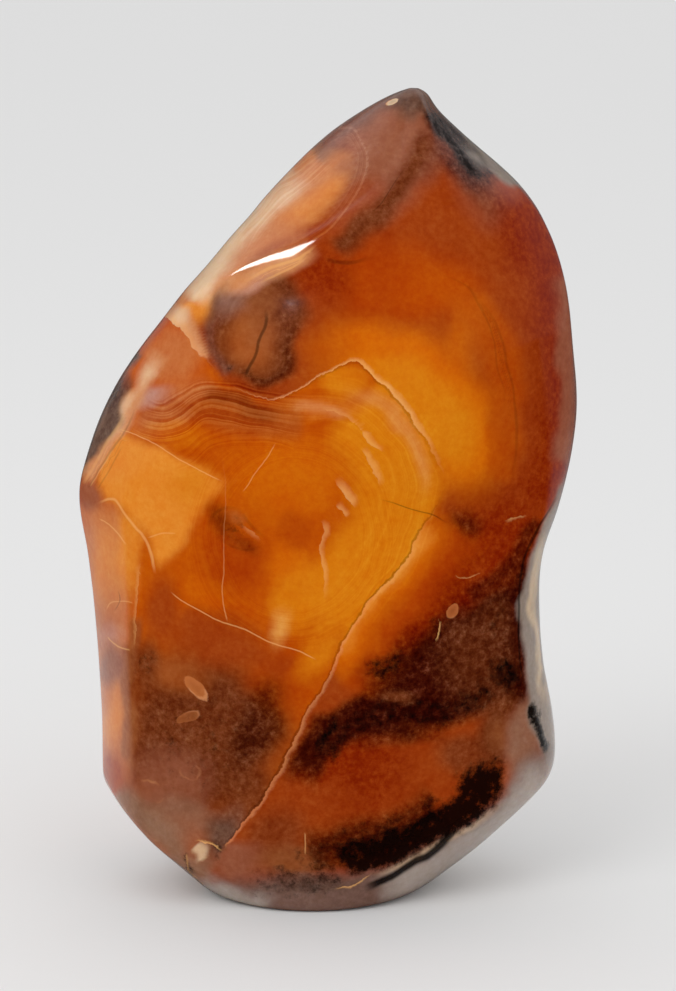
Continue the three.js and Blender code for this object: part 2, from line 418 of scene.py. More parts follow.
# The stone right of and above the great seam
OUTER_GROUND = RUST
OUTER_PATCHES = (
    Cloud("upper rust", BURNT, (395, 285), (120, 55), 5),
    Cloud("upper ochre", ORANGE, (440, 295), (60, 40), 20, 0.6),
    Cloud("ochre right", GOLD, (466, 345), (26, 44), -20, 0.6, 0.1),
    Ribbon("gold arch", GOLD, Trace((285, 392), (345, 358), (405, 364), (448, 396), (462, 440), (454, 484),
        (444, 514)), 54, 1.0, 0.3, 0.25),
    Plate("honey", HONEY, Trace((340, 372), (366, 362), (405, 364), (444, 378), (470, 404), (476, 436),
        (464, 458), (444, 464), (415, 440), (380, 396), (352, 384), (340, 372)), 14),
    Ribbon("outer contour", ORANGE, Trace((470, 300), (500, 350), (508, 420), (495, 490)), 24, 0.6),
    Ribbon("right edge", CHESTNUT, Trace((505, 190), (552, 270), (566, 350), (562, 430), (534, 520)), 48,
        0.9, 0.2),
    Ribbon("right rim", MAUVE, Trace((562, 270), (574, 330), (573, 380), (568, 430), (560, 466)), 20, 0.8),
    Cloud("left of eye", AMBER, (196, 300), (36, 44), 40, 0.9),
    Plate("flap", PEACH, Trace((150, 296), (174, 304), (190, 312), (199, 328), (205, 344), (212, 364),
        (190, 366), (166, 348), (146, 322), (150, 296)), 4),
    Cloud("flap light", CREAM, (178, 316), (18, 20), 40, 0.6, 0.1),
    Cloud("right of eye", CHESTNUT, (320, 278), (52, 44), 0, 0.8),
    Cloud("eye rim", RUST, (262, 328), (64, 78), 0, 0.8, 0.6),
    Plate("eye", UMBER, Trace((215, 330), (216, 294), (236, 268), (275, 264), (298, 292), (302, 330),
        (291, 368), (262, 386), (238, 380), (222, 358), (215, 330)), 8),
    # Painted reflection: a mauve-grey sheen over the eye's upper left.
    Cloud("eye mauve reflection", LILAC, (234, 298), (34, 30), -10, 0.6),
    Cloud("eye brown", WALNUT, (262, 298), (30, 24), 0, 0.9),
    Cloud("eye heart", TAWNY, (252, 342), (36, 46), 5, 0.9, 0.2),
    Ribbon("eye left ring", BARK, Trace((230, 276), (214, 300), (212, 330), (220, 360), (236, 378)), 10,
        0.6, 0.1),
    Cloud("eye core", WALNUT, (258, 330), (22, 36), 5, 0.5, 0.1),
    Ribbon("eye shadow", MAROON, Trace((238, 372), (258, 381), (280, 374), (293, 352), (297, 318)), 8, 0.45,
        0.1, 0.25),
    Cloud("below gold", CHESTNUT, (488, 548), (90, 92), 10, 1.0, 0.1),
    Cloud("right knot", MAROON, (464, 526), (28, 22), 10, 0.8, 0.1),
    Cloud("right of waist", CHESTNUT, (512, 530), (30, 34), 0, 0.8),
    Cloud("garnet", GARNET, (425, 600), (86, 66), -30, 1.0, 0.5),
    Cloud("bright red", CHESTNUT, (484, 566), (38, 13), -15, 0.8),
    Ribbon("waist edge", MAROON, Trace((540, 520), (520, 552), (498, 576), (466, 598)), 13, 0.7, 0.1),
    Plate("smoky waist", MAROON, Trace((470, 606), (500, 584), (524, 560), (530, 600), (524, 660),
        (526, 706), (470, 716), (400, 728), (356, 742), (322, 748), (345, 712), (380, 676), (404, 648),
        (436, 626), (470, 606)), 9),
    Cloud("smoky middle", UMBER, (474, 660), (52, 70), 0, 0.6, 0.2),
    Cloud("smoky upper", UMBER, (496, 614), (26, 28), 0, 0.5, 0.1),
    Ribbon("glow wide", BURNT, Trace((444, 508), (412, 570), (368, 625), (330, 680)), 66, 1.0, 0.3, 0.1),
    Ribbon("glow", GOLD, Trace((444, 504), (408, 565), (365, 620), (326, 684)), 33, 0.9, 0.2, 0.2),
    Ribbon("glow bright", AMBER, Trace((438, 520), (408, 560), (367, 615), (340, 655)), 15, 0.8, 0.1, 0.2),
    Cloud("garnet glow", GARNET, (412, 640), (34, 20), -45, 0.6, 0.1),
    Cloud("dark red", MAROON, (390, 664), (46, 26), -35, 0.5, 0.1),
    Cloud("brown oval", UMBER, (400, 700), (22, 12), 0, 0.9),
    Cloud("brown right", UMBER, (502, 730), (36, 50), 0, 1.0, 0.4),
    Cloud("walnut right", WALNUT, (496, 736), (28, 26), 0, 0.8, 0.1),
    Cloud("brown far right", MAUVE, (524, 744), (30, 66), 10, 0.9),
    Cloud("taupe right", TAUPE, (525, 738), (24, 60), 10, 0.55),
    Cloud("umber right", UMBER, (466, 752), (46, 30), 0, 0.7),
    Cloud("red low", CHESTNUT, (345, 775), (80, 56), -15, 0.9, 0.4),
    Cloud("rust low", RUST, (325, 800), (50, 36), 0, 0.6),
    Ribbon("dark band", MAROON, Trace((456, 722), (394, 724), (350, 720), (320, 730), (304, 756),
        (294, 796)), 24, 0.95, 0.4, 0.2),
    Cloud("dark red low", MAROON, (384, 741), (40, 16), -5, 0.6),
    Cloud("red foot", UMBER, (276, 842), (50, 44), 0, 0.6),
    Cloud("foot mauve", MAUVE, (234, 862), (48, 28), 0, 0.9),
    Cloud("foot mauve far", WALNUT, (296, 864), (52, 22), 0, 0.9),
    Ribbon("dark foot", MAROON, Trace((440, 800), (400, 824), (355, 840), (310, 856)), 30, 0.8, 0.2),
    # Painted reflection: the right side face is grey where its polish shows the bright room, with a painted
    # glint along it.
    Plate("side face reflection", GREY, Trace((552, 772), (538, 740), (529, 705), (522, 665), (519, 620), (522, 582),
        (534, 552), (552, 518), (566, 482), (584, 466), (610, 500), (610, 760), (580, 790), (552, 772)),
        4),
    Ribbon("side glint", CREAM, Trace((552, 530), (536, 570), (533, 620), (537, 670), (548, 712)), 6, 0.5,
        0.1, 0.3),
    # Painted reflection: the foot's bevel is grey where its polish shows the pale floor, paler and darker in
    # places, with a painted highlight along its inner edge.
    Plate("foot reflection", ASH, Trace((530, 764), (556, 745), (620, 760), (580, 900), (400, 960), (150, 930),
        (150, 880), (215, 884), (250, 880), (290, 878), (335, 876), (375, 864), (405, 851), (455, 828),
        (498, 796), (530, 764)), 12, 0.9),
    Ribbon("pale foot reflection", PEARL, Trace((560, 752), (520, 806), (465, 850), (420, 876), (372, 894)), 26, 0.7,
        0.2, 0.2),
    Cloud("dark foot reflection", BARK, (312, 884), (50, 14), 0, 0.6),
    Ribbon("left foot reflection", PEARL, Trace((180, 866), (208, 888), (240, 898), (280, 908)), 15, 0.75, 0.1, 0.3),
    Ribbon("foot edge highlight", CREAM, Trace((500, 802), (456, 834), (406, 858), (372, 874)), 6, 0.4, 0.1, 0.3),
)

# The top of the stone, over both
TOP_PATCHES = (
    # Painted reflection: the mauve-grey haze over the top of the flame.
    Cloud("top mauve reflection", MAUVE, (390, 155), (62, 100), 30, 1.0, 0.4),
    Cloud("top warm", RUST, (364, 200), (26, 40), 35, 0.6),
    Cloud("mauve shoulder", MAUVE, (478, 205), (28, 54), -38, 0.4, 0.1),
    Ribbon("smoky edge", SMOKE, Trace((424, 106), (456, 158), (484, 188), (516, 226)), 26, 0.85, 0.1,
        0.45),
    Cloud("smoky right", SMOKE, (438, 158), (20, 38), 25, 0.35, 0.1),
    Ribbon("dark streak", UMBER, Trace((430, 128), (408, 175), (390, 203), (368, 228), (336, 250)), 20,
        0.95, 0.1),
    # Painted reflection: the grey sliver along the top right edge, where the polish shows the room behind.
    Plate("top right reflection", GREY, Trace((440, 90), (474, 122), (514, 158), (538, 180), (524, 190), (506, 184),
        (486, 168), (464, 148), (446, 128), (430, 106), (424, 84), (440, 90)), 3),
    Ribbon("ridge dark", BLACK, Trace((418, 94), (438, 124), (458, 147), (480, 168), (504, 190)), 12, 0.95,
        0.1, 0.3),
    Plate("lens", TAN, Trace((330, 144), (350, 146), (355, 166), (343, 196), (317, 217), (286, 237),
        (254, 257), (214, 288), (180, 300), (200, 262), (250, 205), (295, 162), (330, 144)), 5, 0.95),
    Cloud("lens end", MAUVE, (350, 160), (20, 28), 20, 0.6, 0.1),
    Ribbon("lens gold", AMBER, Trace((346, 164), (332, 190), (300, 212), (264, 238)), 17, 0.5, 0.0, 0.4),
    Ribbon("lens pale", CREAM, Trace((312, 174), (284, 200), (262, 222), (240, 244)), 14, 0.5, 0.1, 0.3),
    Ribbon("above brow", TAN, Trace((312, 220), (288, 235), (260, 248), (226, 268)), 14, 0.8, 0.1, 0.3),
    # Painted reflection: the whitish glare along the upper-left rim, where the face turns away.
    Ribbon("rim glare", CREAM, Trace((290, 160), (262, 192), (234, 228), (210, 262), (185, 300)), 24, 0.8,
        0.1),
    # Painted reflection: a grey-mauve haze along the upper-left rim near the tip.
    Ribbon("mauve rim reflection", BARK, Trace((395, 95), (350, 122), (312, 152)), 20, 0.6, 0.1),
    Cloud("tip", BARK, (412, 102), (42, 24), 0, 0.9),
    # Painted reflection: the soft pinkish shine on the rounded brow under its highlight.
    Ribbon("reflection below brow", PEACH, Trace((206, 288), (236, 280), (268, 271), (298, 256), (318, 242)), 18, 1.0,
        0.2, 0.25),
    Cloud("brow rose reflection", ROSE, (252, 285), (34, 12), -20, 0.6, 0.1),
)
# Where black dendrites grow in the stone, and painted shade in the dent at the foot: full strength is solid
# black, and less gives scattered specks.
SOOT_PATCHES = (
    Ribbon("top ridge", BLACK, Trace((422, 100), (438, 126), (456, 147), (477, 167), (500, 187)), 14, 0.6,
        0.1, 0.2),
    Ribbon("top fringe", BLACK, Trace((424, 116), (448, 156), (478, 186), (504, 212)), 22, 0.42, 0.1, 0.5),
    Ribbon("top streak", BLACK, Trace((430, 128), (408, 175), (388, 205), (366, 230)), 16, 0.26, 0.1),
    Cloud("knot specks", BLACK, (228, 528), (30, 26), 30, 0.42, 0.2),
    Ribbon("eye specks", BLACK, Trace((228, 368), (248, 378), (270, 378)), 9, 0.4, 0.2),
    Ribbon("waist ridge", BLACK, Trace((556, 500), (534, 545), (516, 572), (490, 588)), 10, 0.5, 0.1, 0.3),
    Cloud("sparkle clot", BLACK, (438, 628), (15, 18), 0, 0.55, 0.1),
    Cloud("clot", BLACK, (392, 664), (40, 24), -20, 0.75, 0.1),
    Cloud("right clot", BLACK, (502, 670), (32, 38), 0, 0.8, 0.1),
    Cloud("right specks", BLACK, (500, 624), (30, 46), 0, 0.38, 0.3),
    Ribbon("band", BLACK, Trace((312, 765), (340, 730), (390, 716), (450, 704), (500, 686)), 26, 0.6, 0.1),
    Ribbon("beside seam", BLACK, Trace((344, 708), (322, 726), (308, 756)), 15, 0.75, 0.1, 0.3),
    Cloud("foot clot", BLACK, (480, 786), (36, 50), 25, 1.0, 0.2),
    Ribbon("foot black", BLACK, Trace((486, 788), (452, 814), (410, 835), (372, 850), (332, 864)), 31, 1.0,
        0.2, 0.15),
    Ribbon("foot fringe", BLACK, Trace((450, 796), (400, 818), (350, 842), (296, 870)), 30, 0.5, 0.2),
    Cloud("foot left clot", BLACK, (326, 864), (42, 16), -12, 0.6, 0.2),
    Ribbon("side black", BLACK, Trace((529, 690), (537, 718), (545, 744), (547, 758)), 10, 0.9, 0.1, 0.3),
    Cloud("low left specks", BLACK, (205, 740), (90, 100), 0, 0.33, 0.3),
    Cloud("low left clot", BLACK, (146, 668), (22, 38), 0, 0.5, 0.1),
    # Painted shade: the dark crescent inside the dent in the foot, drawn as black.
    Ribbon("hollow shade", BLACK, Trace((204, 842), (214, 850), (218, 862), (214, 876)), 9, 0.6, 0.1, 0.3),
    Ribbon("outer hollow shade", BLACK, Trace((190, 848), (192, 866), (204, 884)), 6, 0.6, 0.1, 0.3),
    Cloud("veil specks", BLACK, (300, 882), (90, 26), 0, 0.55, 0.3),
    Cloud("right low specks", BLACK, (462, 776), (26, 26), 0, 0.45, 0.2),
)


@dataclass(frozen=True)
class SeamPlace:
    """A place on the great seam, and what the seam looks like there."""

    pixel: Pixel
    soft: float  # over how many millimetres one side turns into the other
    lip: float = 0.0  # strength of the pale edge on its outer side
    lip_width: float = 0.3  # in millimetres
    crack: float = 0.0  # strength of the dark line
    warm: float = 0.0  # how far the pale edge is coral instead of straw


SEAM_PLACES = (
    SeamPlace((140, 296), 0.1),
    SeamPlace((165, 318), 0.1, 0.5, 1.6, 0.0, 0.2),
    SeamPlace((182, 330), 0.06, 0.5, 1.6, 0.0, 0.3),
    SeamPlace((193, 346), 0.06, 0.6, 1.2, 0.0, 0.5),
    SeamPlace((207, 360), 0.3, 0.2, 0.5, 0.0, 0.8),
    SeamPlace((216, 372), 0.8, 0.0, 0.2),
    SeamPlace((232, 388), 0.6, 0.0, 0.2),
    SeamPlace((262, 399), 0.3, 0.6, 0.35, 0.0, 0.5),
    SeamPlace((285, 397), 0.1, 0.9, 0.4, 0.2, 0.6),
    SeamPlace((315, 379), 0.1, 0.8, 0.4, 0.2, 0.3),
    SeamPlace((342, 366), 0.1, 0.7, 0.6, 0.3),
    SeamPlace((356, 364), 0.05, 0.6, 0.7, 0.3),
    SeamPlace((375, 379), 0.05, 0.8, 1.0, 0.35),
    SeamPlace((400, 403), 0.05, 0.8, 1.0, 0.35),
    SeamPlace((416, 426), 0.05, 0.7, 1.0, 0.3),
    SeamPlace((430, 448), 0.6, 0.3, 0.9, 0.1),
    SeamPlace((442, 478), 2.4, 0.0, 0.3, 0.0),
    SeamPlace((440, 505), 1.2, 0.0, 0.3, 0.1),
    SeamPlace((425, 525), 0.4, 0.1, 0.5, 0.4),
    SeamPlace((412, 550), 0.15, 0.3, 0.8, 0.5),
    SeamPlace((388, 582), 0.15, 0.4, 0.8, 0.5),
    SeamPlace((360, 614), 0.1, 0.4, 0.7, 0.5, 0.3),
    SeamPlace((340, 648), 0.1, 0.6, 0.6, 0.4, 0.6),
    SeamPlace((326, 680), 0.08, 0.55, 0.8, 0.4, 0.5),
    SeamPlace((304, 718), 0.08, 0.55, 0.8, 0.5, 0.5),
    SeamPlace((290, 750), 0.08, 0.55, 0.8, 0.6, 0.5),
    SeamPlace((272, 788), 0.08, 0.55, 0.7, 0.6, 0.6),
    SeamPlace((228, 840), 0.1, 0.8, 0.6, 0.5, 0.9),
    SeamPlace((223, 850), 0.6, 0.0, 0.3, 0.0),
    SeamPlace((205, 880), 1.5, 0.0, 0.2, 0.0),
)


class LineLook(Enum):
    """How a thin line in the stone looks, by the name of its attribute."""

    BAND_DARK = "band_dark"
    BAND_PALE = "band_pale"


@dataclass(frozen=True)
class GrowthLines:
    """Thin lines that follow each other along one curve, as agate grows."""

    CORE = 0.6  # the share of their reach inside which they have their full strength

    name: str
    look: LineLook
    trace: Trace
    reach: float  # how far to each side of the curve they spread, in pixels
    spacing: float  # in pixels
    strength: float = 1.0
    ends: tuple[float, float] = (0.06, 0.06)  # shares of the curve over which they come and go

    def read(self, pixels: np.ndarray) -> tuple[np.ndarray, np.ndarray]:
        """Counts the lines out from the curve.

        Args:
            pixels: Where the stone is coloured.

        Returns:
            The number of spacings from the curve, and how strong the lines are, from 0 to 1.
        """
        gap, run = self.trace.measure(pixels)
        ends = smooth_step(run, 0.0, self.ends[0]) * smooth_step(run, 1.0, 1.0 - self.ends[1])
        cover = self.strength * ends * smooth_step(np.abs(gap), self.reach, self.CORE * self.reach)
        return gap / self.spacing, cover


@dataclass(frozen=True)
class GrowthRings:
    """Thin lines that close round an oval."""

    FADE = 0.25  # the share of their breadth over which they come and go

    name: str
    look: LineLook
    oval: Cloud
    inner: float  # where they start and end, as shares of the oval's reach
    outer: float
    count: float
    strength: float = 1.0

    def read(self, pixels: np.ndarray) -> tuple[np.ndarray, np.ndarray]:
        """Counts the lines out from the oval's middle, as GrowthLines.read does."""
        radius = self.oval.radius(pixels)
        edge = self.FADE * (self.outer - self.inner)
        cover = smooth_step(radius, self.inner, self.inner + edge)
        cover *= smooth_step(radius, self.outer, self.outer - edge)
        return radius * self.count / (self.outer - self.inner), self.strength * cover


GROWTH = (
    GrowthLines("waist", LineLook.BAND_DARK, Trace((136, 412), (152, 420), (172, 420), (200, 402),
        (230, 404), (262, 411), (300, 416), (345, 412)), 26, 7.0, 0.7, (0.2, 0.35)),
    GrowthLines("below waist", LineLook.BAND_DARK, Trace((165, 470), (190, 458), (215, 440), (245, 436),
        (290, 442), (325, 460)), 16, 6.0, 0.25, (0.3, 0.3)),
    GrowthLines("inner arcs", LineLook.BAND_PALE, Trace((285, 402), (335, 398), (385, 425), (412, 475),
        (404, 535), (372, 588), (335, 630)), 40, 14, 0.5, (0.15, 0.2)),
    GrowthLines("lens", LineLook.BAND_PALE, Trace((240, 262), (280, 250), (318, 230), (346, 202),
        (361, 170), (358, 142), (340, 134), (305, 150)), 9, 6.0, 1.0, (0.3, 0.2)),
    GrowthLines("lens streaks", LineLook.BAND_PALE, Trace((330, 156), (300, 180), (262, 216), (226, 262)),
        18, 9.0, 0.8, (0.2, 0.3)),
    GrowthRings("eye", LineLook.BAND_DARK, Cloud("eye rings", UMBER, (257, 342), (26, 44), 5), 0.9, 1.7, 4,
        0.1),
    GrowthRings("heart rings", LineLook.BAND_DARK, Cloud("heart rings", UMBER, (292, 535), (56, 60)), 1.1,
        2.0, 8, 0.15),
)


@dataclass(frozen=True)
class Flaw:
    """A single line in the stone: a healed fracture, a crack, or a broken edge that is bright on one side; a
    few are painted highlights drawn the same way.
    """

    name: str
    trace: Trace
    width: float  # in millimetres; a broken edge fades over it on the line's right as it runs
    strength: float = 1.0
    ends: tuple[float, float] = (0.12, 0.12)  # shares of the line over which it comes and goes


# Flaws that lie close together or cross are in different fields: a field knows only the nearest of its own.
FLAWS = {
    "fracture": (
        Flaw("left fall", Trace((118, 429), (149, 441), (183, 461), (223, 481)), 0.08, 0.8),
        Flaw("long fall", Trace((170, 590), (196, 608), (228, 625), (254, 635), (316, 660)), 0.09, 0.8,
            (0.1, 0.05)),
        Flaw("right rise", Trace((275, 444), (258, 468), (241, 491)), 0.06, 0.6),
        Flaw("flank top", Trace((99, 521), (110, 529), (127, 546)), 0.1, 0.7),
        Flaw("flank tie", Trace((107, 611), (112, 603), (124, 601), (133, 602)), 0.09, 0.6),
        Flaw("flank low", Trace((107, 637), (117, 648), (129, 651)), 0.09, 0.7),
        Flaw("branch", Trace((146, 539), (157, 535), (175, 533)), 0.09, 0.6),
        Flaw("stripe", Trace((129, 402), (120, 424), (108, 446), (94, 466), (83, 484)), 0.3, 0.5,
            (0.3, 0.1)),
        Flaw("stripe low", Trace((117, 446), (104, 466), (90, 486)), 0.12, 0.6, (0.3, 0.1)),
        # The two brow strokes are a painted highlight: pale streaks of the brow's shine, laid in as
        # fractures.
        Flaw("brow highlight stroke", Trace((318, 243), (298, 256), (268, 270), (236, 281)), 0.3, 0.8, (0.3, 0.4)),
        Flaw("brow highlight stroke low", Trace((308, 254), (284, 272), (258, 284)), 0.2, 0.7, (0.3, 0.4)),
        Flaw("foot tick", Trace((307, 834), (307, 842), (304, 852)), 0.1, 0.7),
    ),
    "cross": (
        Flaw("upright", Trace((225, 445), (225, 482), (223, 530), (223, 587), (227, 622)), 0.07, 0.6,
            (0.95, 0.04)),
        Flaw("streak", Trace((97, 504), (109, 499), (119, 502), (133, 527), (141, 537), (149, 553),
            (153, 573)), 0.22, 0.8),
    ),
    "crack": (
        Flaw("eye slit", Trace((264, 306), (264, 326), (258, 343), (256, 356), (251, 368), (247, 378)), 0.3,
            0.6, (0.15, 0.1)),
        Flaw("stripe line", Trace((135, 404), (128, 424), (116, 447), (102, 467), (88, 488)), 0.14, 0.28,
            (0.3, 0.1)),
        Flaw("stripe beside", Trace((124, 446), (111, 468), (97, 490)), 0.1, 0.2, (0.3, 0.1)),
        Flaw("middle crack", Trace((378, 500), (398, 505), (425, 514), (450, 523)), 0.08, 0.5, (0.4, 0.2)),
        Flaw("right contour", Trace((470, 286), (499, 332), (512, 380), (516, 440), (512, 490)), 0.22, 0.22,
            (0.3, 0.3)),
        Flaw("inner contour", Trace((436, 274), (468, 290), (486, 318), (499, 362), (504, 420)), 0.16, 0.2,
            (0.3, 0.3)),
        Flaw("knot top", Trace((206, 534), (211, 516), (225, 508), (241, 513)), 0.3, 0.18, (0.4, 0.4)),
        Flaw("knot side", Trace((236, 511), (250, 526), (264, 541)), 0.26, 0.18, (0.4, 0.4)),
        Flaw("knot low", Trace((216, 534), (231, 546), (248, 551), (264, 546)), 0.3, 0.18, (0.4, 0.4)),
        Flaw("top crease", Trace((404, 168), (388, 190), (370, 214)), 0.06, 0.4, (0.4, 0.3)),
        Flaw("smile", Trace((326, 260), (338, 263), (354, 262), (374, 256)), 0.36, 0.35, (0.25, 0.4)),
        Flaw("fissure", Trace((362, 891), (384, 882), (400, 873), (416, 862), (430, 856), (444, 844),
            (454, 830)), 0.8, 1.0, (0.12, 0.1)),
        Flaw("side line", Trace((562, 482), (549, 513), (530, 548), (519, 580), (517, 620), (520, 660),
            (527, 700)), 0.2, 0.7, (0.2, 0.2)),
        Flaw("flank crack", Trace((118, 590), (120, 600), (114, 612)), 0.06, 0.4, (0.3, 0.3)),
    ),
    "step": (
        Flaw("feather 1", Trace((383, 452), (369, 443), (357, 423)), 1.3, 0.5, (0.3, 0.3)),
        Flaw("feather 3", Trace((354, 507), (344, 496), (332, 480)), 1.6, 0.7, (0.3, 0.4)),
        Flaw("feather 5", Trace((327, 600), (324, 573), (320, 549), (325, 532), (319, 521)), 1.0, 0.5,
            (0.3, 0.2)),
        Flaw("waist edge", Trace((362, 430), (340, 413), (318, 408)), 0.8, 0.3, (0.2, 0.4)),
        Flaw("knot glint", Trace((240, 524), (252, 532), (260, 542)), 0.8, 0.3, (0.4, 0.4)),
        Flaw("sparkle", Trace((434, 640), (438, 630), (440, 622)), 0.4, 0.9),
        Flaw("foot arc", Trace((335, 890), (352, 886), (372, 873)), 0.4, 0.9, (0.3, 0.3)),
        # Painted highlight: the bright arc on the dent's rim.
        Flaw("hollow highlight arc", Trace((222, 854), (208, 845), (196, 842)), 0.4, 1.0, (0.3, 0.3)),
        Flaw("scratch", Trace((506, 520), (526, 515)), 0.5, 0.5),
        Flaw("red glint", Trace((478, 574), (466, 579), (455, 578)), 0.3, 0.5),
    ),
    "step_beside": (
        Flaw("flank ridge", Trace((141, 562), (136, 610), (133, 650)), 0.6, 0.35, (0.2, 0.2)),
        Flaw("feather 2", Trace((378, 488), (370, 465), (360, 449)), 1.3, 0.5, (0.3, 0.3)),
        Flaw("feather 4", Trace((345, 517), (334, 505)), 1.2, 0.55, (0.3, 0.3)),
        Flaw("hollow left", Trace((205, 884), (190, 868), (188, 852)), 0.4, 0.5),
    ),
}

CHIPS = (
    Cloud("long chip", TAN, (195, 687), (17, 7), 52, 1.0),
    Cloud("oval chip", TAN, (452, 612), (5, 8), 20, 0.9),
    Cloud("pale fleck", TAN, (187, 718), (12, 6), -20, 0.5),
    Cloud("foot fleck", MAUVE, (150, 790), (15, 11), 20, 0.5),
    Cloud("foot fleck small", MAUVE, (190, 772), (12, 8), 10, 0.3),
    Cloud("tip chip", CREAM, (391, 101), (7, 3), -20, 1.0),
)


@dataclass
class StoneSurface:
    """The stone's fine surface: the frame's level rings, read back and made smooth between them.

    The solid in the frame is a stack of level rings with the same number of corners. The rings are read
    from its mesh, lined up so that a corner follows the one below it, and a smooth surface is drawn through
    them.
    """

    node: str = "flame"
    rows: int = 300
    columns: int = 320
    front_weight: float = 2.2  # how much closer the columns stand on the front than on the back
    polish: int = 5  # rounds of smoothing
    brow_polish: int = 30  # the same, on the brow, which is worn rounder
    facing: float = -0.05  # a column is in front where its outward direction points further ahead than this
    worn_brow: Cloud = Cloud("worn brow", Shade.CREAM, (262, 262), (80, 44), -28, 1.0, 0.4)

    def rings(self) -> np.ndarray:
        """Reads the level rings of the frame's solid.

        Returns:
            The rings from the foot up, as rows of corners in metres.
        """
        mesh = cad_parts[self.node].data
        corners = np.empty(len(mesh.vertices) * 3)
        mesh.vertices.foreach_get("co", corners)
        grain = 1e-7
        corners = np.unique(np.round(corners.reshape(-1, 3) / grain), axis=0) * grain
        corners = corners[np.argsort(corners[:, 2], kind="stable")]
        level_gap = 0.05 * MM
        breaks = np.where(np.diff(corners[:, 2]) > level_gap)[0] + 1
        stack = []
        for level in np.split(corners, breaks):
            arm = level - level.mean(axis=0)
            ring = level[np.argsort(np.arctan2(arm[:, 1], arm[:, 0]))]
            stack.append(self.lined_up(ring, stack[-1]) if stack else ring)
        return np.array(stack)

    @staticmethod
    def lined_up(ring: np.ndarray, below: np.ndarray) -> np.ndarray:
        """Turns a ring's count of corners so that each stands over its own corner in the ring below."""
        middle = ring.mean(axis=0)
        low = below - below.mean(axis=0)
        scale = np.sqrt((low**2).sum() / ((ring - middle) ** 2).sum())
        turns = [np.roll(ring, -turn, axis=0) for turn in range(len(ring))]
        misses = [np.abs((turned - middle) * scale - low).sum() for turned in turns]
        return turns[int(np.argmin(misses))]

    @staticmethod
    def even_places(lengths: np.ndarray, count: int) -> np.ndarray:
        """Places that divide a chain of given step lengths evenly, counted in steps."""
        run = np.concatenate([[0.0], np.cumsum(lengths)])
        return np.interp(np.linspace(0.0, run[-1], count), run, np.arange(len(run)))

    def grid(self) -> np.ndarray:
        """Draws the smooth surface through the rings.

        Returns:
            Points in rows from the foot up, in metres.
        """
        rings = self.rings()
        up = np.linalg.norm(np.diff(rings, axis=0), axis=2).mean(axis=1)
        fine = spline(rings, self.even_places(up, self.rows), closed=False)
        fine[-1] = rings[-1]
        steps = np.linalg.norm(np.roll(rings, -1, axis=1) - rings, axis=2).mean(axis=0)
        front = self.normals(rings)[..., 1].mean(axis=0) < self.facing
        steps = steps * np.where(front, self.front_weight, 1.0)
        round_places = self.even_places(steps, self.columns + 1)[:-1]
        return spline(fine.transpose(1, 0, 2), round_places, closed=True).transpose(1, 0, 2)

    @staticmethod
    def normals(grid: np.ndarray) -> np.ndarray:
        """The outward direction at each point of a grid."""
        round_step = np.roll(grid, -1, axis=1) - np.roll(grid, 1, axis=1)
        up_step = np.gradient(grid, axis=0)
        across = np.cross(round_step, up_step)
        return across / np.maximum(np.linalg.norm(across, axis=2, keepdims=True), 1e-12)

    def polished(self, grid: np.ndarray) -> np.ndarray:
        """Rounds what is sharper than polishing leaves, and keeps the foot flat.

        Args:
            grid: Points in rows from the foot up.

        Returns:
            The same points after as many rounds of smoothing as each place gets.
        """
        pixels = PHOTO.pixels(grid.reshape(-1, 3))
        extra = self.worn_brow.cover(pixels) * (grid.reshape(-1, 3)[:, 1] < 0.0)
        rounds = self.polish + (self.brow_polish - self.polish) * extra.reshape(grid.shape[:2])
        for done in range(self.brow_polish):
            around = 0.25 * (np.roll(grid, 1, axis=1) + 2 * grid + np.roll(grid, -1, axis=1))
            smooth = around.copy()
            smooth[1:-1] = 0.25 * (around[:-2] + 2 * around[1:-1] + around[2:])
            smooth[0, :, 2] = grid[0, :, 2]
            share = np.clip(rounds - done, 0.0, 1.0)[..., None]
            grid = grid + share * (smooth - grid)
        return grid


